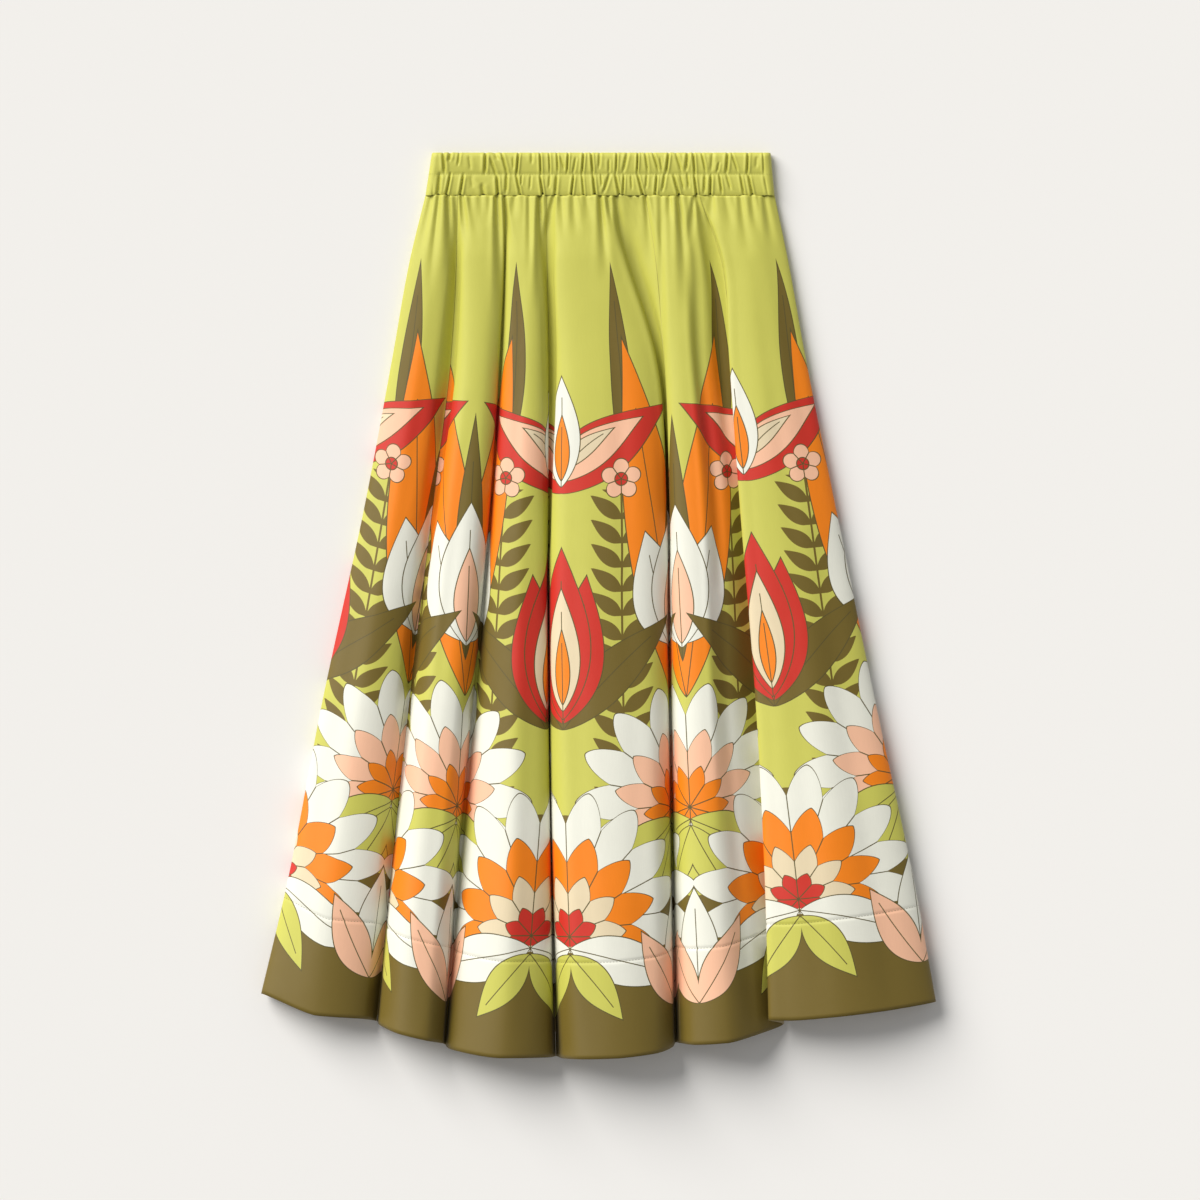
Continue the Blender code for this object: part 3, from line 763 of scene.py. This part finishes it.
def backSheet():
    # The back lies flat with its printed side down. Its sides turn up to the side seams.
    across = np.linspace(-1, 1, back["columns"])
    across = (np.sign(across) * (1 - (1 - np.abs(across)) ** back["sideCrowding"]) + 1) / 2
    hems = back["sideHem"] + (back["middleHem"] - back["sideHem"]) * (1 - (2 * across - 1) ** 2)
    shares, drop = rowsDown(hems, back["rows"])
    left, right = (
        linePoint(np.full(len(shares), line), drop[:, 0])[:, :1] for line in (0, len(foldLines) - 1)
    )
    growth = np.interp(drop[:, :1], (*skirt["stations"], back["sideHem"]), skirt["crestGrowth"])
    x = left + (right - left) * across[None, :]
    fromSide = np.minimum(x - left, right - x)
    height = skirt["sideRise"] * growth * np.clip(1 - fromSide / back["turn"], 0, 1) ** 1.5
    # Gathers and the hem's seam are hollows in the underside, which stays flat where it rests.
    hollow = back["gatherShare"] * np.maximum(waistSink(back["mirror"] - x, drop), 0)
    seamRow = (drop - hems[None, :] + hem["stitchAbove"]) / hem["stitchHalfWidth"]
    hollow += back["seamDepth"] * np.exp(-(seamRow**2))
    height += hollow * np.clip(fromSide / back["turn"], 0, 1)
    points = np.stack([x, drop, height], axis=2)
    printed = np.broadcast_to(skirt["printLength"] * shares[:, None], x.shape)
    flat = np.stack([back["printFrom"] - x, printed], axis=2)
    return hems[::-1], points[:, ::-1], flat[:, ::-1]


def makeBack():
    hems, points, flat = backSheet()
    cloth = sheetObject("backCloth", points, flat, [printedCloth, wrongSide])
    giveThickness(cloth, skirt["clothThickness"])
    dressed(cloth, "back_panel")
    return cloth, hems, points


# name, replaced node, first line, last line, where its middle lies on the print, across
frontPieces = [
    ("sideLeftCloth", "front_side_left", "left seam", "A-B valley", 12.0),
    ("leftCloth", "front_left", "A-B valley", "C-D valley", 96.0),
    ("middleCloth", "front_middle", "C-D valley", "E left flank", 236.0),
    ("rightCloth", "front_right", "E left flank", "E-F valley", 338.0),
    ("sideRightCloth", "front_side_right", "E-F valley", "right seam", 462.0),
]


def makeFront():
    places, shares, points = frontSheet()
    gathered = 1 - np.clip(shares * skirt["printLength"] / skirt["fullTo"], 0, 1)
    fullness = 1 + skirt["fullness"] * gathered**1.5
    for name, node, first, last, onPrint in frontPieces:
        start, end = (int(np.argmin(abs(places - lineNames.index(line)))) for line in (first, last))
        piece = points[:, start : end + 1]
        arc = arcAlong(piece)
        length = arc[:, -1:]
        leftGap = 0 if start == 0 else skirt["seamGap"] / 2
        rightGap = 0 if end == len(places) - 1 else skirt["seamGap"] / 2
        inner = leftGap + arc * (length - leftGap - rightGap) / length
        narrowed = [[np.interp(*row) for row in zip(inner, arc, piece[..., axis])] for axis in range(3)]
        piece = np.stack(narrowed, axis=2)
        u = onPrint + (inner - length / 2) * fullness[:, None]
        v = np.broadcast_to(skirt["printLength"] * shares[:, None], u.shape)
        cloth = sheetObject(name, piece, np.stack([u, v], axis=2), [printedCloth, wrongSide])
        down = float(arcAlong(piece.transpose(1, 0, 2))[:, -1].max()) * mm
        giveThickness(cloth, skirt["clothThickness"])
        dressed(cloth, node)
    return places, points


band = {
    "depth": 43.0,
    "height": 12.5,
    "endRound": 5.5,
    "wall": 2.3,
    "topHalfWidths": (166.0, 172.5),
    "footHalfWidths": (172.5, 176.5),
    "stitchDrop": 21.5,
    "puff": 0.7,  # how far the cloth swells above and below its stitches
    "pinch": 0.45,  # how far the stitches draw it in
    "pinchHalf": 1.5,
    "creaseDepth": 1.5,  # of all creases, times their own
    "creaseWidth": 0.8,
    "creaseFade": 0.25,  # share of a crease's length over which it comes and goes
    "lipRise": 0.30,
    "lipPlace": 2.4,
    "lipReach": 1.4,
    "scallop": 1.3,  # how far the foot hangs down between creases, and the top edge dips at them
    "topScallop": 0.35,
    "footWave": 0.5,  # how far its creases draw up the seam below it
    "backSteps": 420,
    "backShare": 0.45,  # depth of the back's creases, of the front's
    "frontColumns": 720,
    "endSteps": 12,
    "rows": 46,
    "endFade": 6.0,  # the creases fade over this length at both ends
    "topRoll": (1.6, 2.2),  # how far the top edge rounds off, and over what length
    "footRoll": (0.5, 2.0),
    "scallopReach": 5.0,
    "topScallopReach": 3.0,
    "footReach": 9.0,  # how far from the seam its waves reach
    "gathered": 1.25,  # how much longer the cloth is than the gathered band
    "stitchStep": 2.6,
    "stitchShare": 0.7,
    "stitchThick": 0.5,
    "stitchLift": 0.1,
}

# Creases of the waistband: across at their upper and lower end, drops of both ends, depth, half width
bandCreases = [
    (-165, -166, -3, 21, 1.4, 1.1),
    (-155, -153, -3, 22, 1.9, 1.5),
    (-147, -149, -3, 9, 1.8, 1.6),
    (-138, -140, -3, 14, 1.0, 1.2),
    (-129, -127, 2, 18, 0.6, 1.8),
    (-112, -113, -3, 23, 2.2, 1.5),
    (-108, -101, 5, 24, 1.3, 1.4),
    (-104, -100, -3, 8, 0.9, 2.2),
    (-97, -90, -3, 24, 1.4, 1.3),
    (-85, -84, 4, 17, 0.6, 1.2),
    (-79, -81.5, -3, 24, 2.1, 1.1),
    (-66, -66, -3, 12, 0.8, 1.6),
    (-58, -57, -3, 24, 2.0, 1.0),
    (-49, -48, -3, 22, 1.2, 0.9),
    (-41, -40, -3, 21, 1.3, 1.0),
    (-38, -33, 3, 18, 0.8, 1.3),
    (-29.5, -31, -3, 22, 1.8, 1.0),
    (-22, -25, 4, 22, 1.0, 1.2),
    (-14, -16, -3, 23, 2.0, 1.1),
    (-7, -5, -3, 23, 2.1, 1.1),
    (2, 1, -3, 17, 1.0, 1.3),
    (11, 11, 6, 21, 0.9, 1.2),
    (19, 18, -3, 22, 1.7, 1.0),
    (30, 25, -3, 21, 1.3, 1.5),
    (40, 39, -3, 22, 2.0, 0.9),
    (47, 50, -3, 21, 1.2, 1.2),
    (54, 61, -3, 20, 1.4, 1.2),
    (62, 64, 4, 19, 0.7, 1.1),
    (71, 68, -3, 22, 2.1, 1.2),
    (77, 84, -3, 21, 1.1, 1.5),
    (90, 88, -3, 19, 1.8, 1.5),
    (95, 97, -3, 24, 1.9, 1.1),
    (103, 108, -3, 21, 1.2, 1.1),
    (115, 113, -3, 20, 0.8, 1.8),
    (121, 119, 9, 20, 1.0, 1.2),
    (130, 128, -3, 22, 2.1, 1.4),
    (133, 140, -1, 20, 1.0, 1.1),
    (150, 149, -3, 23, 2.0, 1.2),
    (159, 158, 3, 16, 0.6, 2.0),
    (165, 166, -3, 23, 1.9, 1.0),
    (-167, -165, 20, 46, 1.3, 1.2),
    (-158, -160, 19, 46, 1.7, 1.9),
    (-147, -152, 19, 46, 1.9, 1.2),
    (-134, -138, 20, 46, 1.9, 1.3),
    (-127, -125, 22, 36, 0.6, 2.4),
    (-116, -114, 30, 46, 1.2, 2.2),
    (-101, -99.5, 22, 47, 2.3, 1.4),
    (-91, -92, 20, 42, 1.5, 1.4),
    (-82, -77, 21, 46, 1.7, 1.1),
    (-76, -77, 22, 34, 0.8, 1.0),
    (-67, -68, 22, 38, 0.7, 1.2),
    (-58, -54.5, 22, 48, 2.4, 1.1),
    (-48, -49, 22, 36, 0.9, 1.2),
    (-41, -43, 21, 46, 1.6, 1.4),
    (-24, -27, 21, 47, 2.0, 1.1),
    (-16, -14, 21, 46, 1.3, 1.0),
    (-5, -2.5, 21, 48, 2.1, 1.2),
    (3, 4, 21, 35, 0.8, 1.0),
    (12, 5, 20, 42, 1.4, 1.5),
    (17, 22, 20, 47, 1.9, 1.2),
    (26, 25, 21, 44, 1.5, 1.0),
    (33, 34, 22, 38, 0.8, 1.2),
    (39, 46, 20, 48, 2.0, 1.1),
    (49, 48, 21, 37, 1.0, 1.2),
    (59, 57, 21, 46, 1.8, 1.1),
    (67, 64, 20, 40, 1.4, 1.3),
    (75, 82, 21, 47, 2.0, 1.3),
    (82, 86, 21, 38, 0.9, 1.2),
    (89, 91, 20, 36, 1.1, 1.2),
    (96, 99, 21, 47, 2.2, 1.1),
    (107, 106, 21, 42, 1.3, 1.3),
    (113, 112, 21, 47, 2.1, 1.2),
    (121, 124, 21, 42, 1.6, 1.1),
    (128, 133, 21, 38, 1.0, 1.3),
    (142, 146, 21, 44, 1.6, 1.1),
    (150, 155, 21, 47, 2.0, 1.2),
    (166, 171, 22, 46, 1.7, 1.3),
]


def bandRows():
    # Rows round the waistband's wall, up its outside and down its inside: drop, how far inside.
    wall = band["wall"]
    foot = band["depth"]
    outer = [(drop, 0.0) for drop in np.linspace(foot, 1.4, band["rows"])]
    over = [(0.6, 0.15), (0.1, 0.6), (0.0, wall / 2), (0.1, wall - 0.6), (0.6, wall - 0.15)]
    inner = [(drop, wall) for drop in np.linspace(1.6, foot - 0.8, band["rows"] // 4)]
    under = [(foot - 0.1, wall - 0.5), (foot, wall / 2)]
    return outer + over + inner + under


def bandSink(across, drop):
    # How far the waistband's creases sink its front at one drop, less the rise of their two lips.
    sunk = np.zeros(len(across))
    for upper, lower, start, end, depth, half in bandCreases:
        t = (drop - start) / (end - start)
        if 0 < t < 1:
            distance = np.abs(across - upper - (lower - upper) * t) / (half * band["creaseWidth"])
            fromLip = (distance - band["lipPlace"]) / band["lipReach"]
            groove = np.exp(-(distance**2)) - band["lipRise"] * np.exp(-(fromLip**2))
            sunk += depth * min(1, t / band["creaseFade"], (1 - t) / band["creaseFade"]) * groove
    return sunk


def footWave(across):
    # How far the seam under the waistband is drawn up at the creases that reach it.
    wave = np.zeros(across.shape)
    for _, lower, _, end, depth, half in bandCreases:
        if end > band["depth"]:
            wave += depth * np.exp(-(((across - lower) / (3 * half)) ** 2))
    return band["footWave"] * wave


def bandRing(drop, inset):
    down = drop / band["depth"]
    left, right = (
        top + (foot - top) * down for top, foot in zip(band["topHalfWidths"], band["footHalfWidths"])
    )
    leftEnd, rightEnd = -left + band["endRound"], right - band["endRound"]
    front = np.linspace(leftEnd, rightEnd, band["frontColumns"])
    fade = np.clip(np.minimum(front - leftEnd, rightEnd - front) / band["endFade"], 0, 1)
    sunk = bandSink(front, drop) * fade
    fromStitch = (drop - band["stitchDrop"]) / band["pinchHalf"]
    toFoot = band["depth"] - drop
    (topRoll, topRun), (footRoll, footRun) = band["topRoll"], band["footRoll"]
    roll = topRoll * math.exp(-((drop / topRun) ** 2)) + footRoll * math.exp(-((toFoot / footRun) ** 2))
    share = drop / band["stitchDrop"]
    if share > 1:
        share = (drop - band["stitchDrop"]) / (band["depth"] - band["stitchDrop"])
    belly = math.sin(math.pi * min(max(share, 0), 1))
    top = band["height"] - roll
    rise = band["puff"] * belly - band["puff"] - band["pinch"] * math.exp(-(fromStitch**2))
    outline = top + rise * fade - sunk * band["creaseDepth"] - inset
    half = top / 2
    turns = np.arange(1, band["endSteps"]) / band["endSteps"] * math.pi
    turnRound = band["endRound"] - inset
    ring = [(x, z) for x, z in zip(front, outline)]
    ring += [(rightEnd + turnRound * math.sin(a), half + (half - inset) * math.cos(a)) for a in turns]
    backAcross = np.linspace(rightEnd, leftEnd, band["backSteps"])
    backFade = np.clip(np.minimum(backAcross - leftEnd, rightEnd - backAcross) / band["endFade"], 0, 1)
    hollow = band["backShare"] * np.maximum(bandSink(back["mirror"] - backAcross, drop), 0)
    hollow += band["pinch"] * math.exp(-(fromStitch**2))
    ring += [(x, z) for x, z in zip(backAcross, inset + hollow * backFade)]
    ring += [(leftEnd - turnRound * math.sin(a), half - (half - inset) * math.cos(a)) for a in turns]
    ring.append(ring[0])
    across = np.array([p[0] for p in ring])
    height = np.array([p[1] for p in ring])
    # The foot hangs lower between the creases, and the top edge dips a little at each.
    edges = -band["scallop"] * math.exp(-((toFoot / band["scallopReach"]) ** 2))
    edges += band["topScallop"] * math.exp(-((drop / band["topScallopReach"]) ** 2))
    scallop = np.zeros(len(ring))
    foot = math.exp(-((toFoot / band["footReach"]) ** 2))
    scallop[: len(front)] = sunk * edges - footWave(front) * foot * fade
    return np.stack([across, drop + scallop, height], axis=1)


def makeBand():
    rows = bandRows()
    points = np.array([bandRing(drop, inset) for drop, inset in rows])
    points = np.concatenate([points, points[:1]])
    ringArc = arcAlong(points[:1])[0]
    wallArc = arcAlong(points.transpose(1, 0, 2))[0]
    flat = np.stack(np.broadcast_arrays(ringArc * band["gathered"], wallArc[:, None]), axis=2)
    cloth = sheetObject("waistbandCloth", points, flat, [bandCloth], closed=True)
    dressed(cloth, "waistband")


stitchLowest = 0.25  # millimetres, of a stitch's middle
stitchAim = 0.6  # how far ahead a stitch points


def makeStitches(name, places, directions, material, length, thick):
    # A row of short stitches, each a small flattened ball drawn out along the row.
    mesh = bmesh.new()
    for place, direction in zip(places, directions):
        turn = direction.to_track_quat("X", "Z").to_matrix().to_4x4()
        size = Matrix.Diagonal((length * mm / 2, thick * mm / 2, thick * mm / 2, 1.0))
        placed = Matrix.Translation(place) @ turn @ size
        bmesh.ops.create_icosphere(mesh, subdivisions=1, radius=1.0, matrix=placed)
    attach(objectOf(name, mesh, [material]), "root")


def stitchesAlong(path, step):
    # Places and directions every step along a path in millimetres, none so low that it sinks into the floor.
    path = np.stack([path[:, 0], path[:, 1], np.maximum(path[:, 2], stitchLowest)], axis=1)
    spans = np.linalg.norm(np.diff(path, axis=0), axis=1)
    along = np.concatenate([[0], np.cumsum(spans)])
    wanted = np.arange(step, along[-1] - step / 2, step)
    points, ahead = (
        metres(np.stack([np.interp(place, along, path[:, axis]) for axis in range(3)], axis=1))
        for place in (wanted, wanted + stitchAim)
    )
    return [Vector(p) for p in points], [Vector(b - a).normalized() for a, b in zip(points, ahead)]


def bandStitches():
    step = band["stitchStep"]
    places, directions = stitchesAlong(bandRing(band["stitchDrop"], -band["stitchLift"]), step)
    length = step * band["stitchShare"]
    makeStitches("bandStitches", places, directions, threadPale, length, band["stitchThick"])


def hemStitches(name, hems, points, lift):
    # A row of stitches in the hem's seam of a sheet.
    wanted = hems - hem["stitchAbove"]
    path = np.array([
        [np.interp(drop, points[:, column, 1], points[:, column, axis]) for axis in range(3)]
        for column, drop in enumerate(wanted)
    ])
    path[:, 2] += lift
    path = path[hem["plainColumns"] : -hem["plainColumns"]]
    places, directions = stitchesAlong(path, hem["stitchStep"])
    length = hem["stitchStep"] * hem["stitchShare"]
    makeStitches(name, places, directions, threadDark, length, hem["stitchThick"])


print("making the cloth")
backCloth, backHems, backPoints = makeBack()
frontPlaces, frontPoints = makeFront()
makeBand()
print("making the stitches")
bandStitches()
hemStitches("hemStitches", hemDrop(frontPlaces), frontPoints, hem["stitchLift"])
hemStitches("backHemStitches", backHems, backPoints, -hem["stitchLift"])


studio = {
    "floorHalf": 3.0,
    "floorDrop": -0.05,
    "floorColour": (0.86, 0.845, 0.82, 1.0),
    "floorRoughness": 0.9,
    "keyFrom": (-2.7, 2.7, 2.55),
    "keySpread": 0.78,  # radians across; more gives softer shadows
    "keyStrength": 3.95,
    "keyColour": (1.0, 0.985, 0.96),
    "skyColour": (0.98, 0.99, 1.0, 1.0),
    "skyStrength": 0.34,
    "cameraPlace": (0.0015, 0.005, 10.0),
    "cameraLens": 300.0,
    "cameraSensor": 36.0,
}


def makeFloor():
    mesh = bmesh.new()
    level = Matrix.Translation((0, 0, studio["floorDrop"] * mm))
    bmesh.ops.create_grid(mesh, x_segments=1, y_segments=1, size=studio["floorHalf"], matrix=level)
    material = bpy.data.materials.new("pale floor")
    material.use_nodes = True
    shader = material.node_tree.nodes["Principled BSDF"]
    shader.inputs["Base Color"].default_value = studio["floorColour"]
    shader.inputs["Roughness"].default_value = studio["floorRoughness"]
    return objectOf("floor", mesh, [material], smooth=False)


def makeLight():
    data = bpy.data.lights.new("key", "SUN")
    data.angle = studio["keySpread"]
    data.energy = studio["keyStrength"]
    data.color = studio["keyColour"]
    key = bpy.data.objects.new("key", data)
    key.location = studio["keyFrom"]
    key.rotation_euler = (-Vector(studio["keyFrom"])).to_track_quat("-Z", "Y").to_euler()
    bpy.context.scene.collection.objects.link(key)
    world = bpy.data.worlds.new("studio")
    bpy.context.scene.world = world
    world.use_nodes = True
    sky = world.node_tree.nodes["Background"]
    sky.inputs["Color"].default_value = studio["skyColour"]
    sky.inputs["Strength"].default_value = studio["skyStrength"]


def makeCamera():
    data = bpy.data.cameras.new("camera")
    data.lens = studio["cameraLens"]
    data.sensor_width = studio["cameraSensor"]
    camera = bpy.data.objects.new("camera", data)
    camera.location = studio["cameraPlace"]
    bpy.context.scene.collection.objects.link(camera)
    bpy.context.scene.camera = camera


print("setting the floor, light and camera")
floor = makeFloor()
makeLight()
makeCamera()
bpy.context.scene.view_settings.view_transform = "Standard"
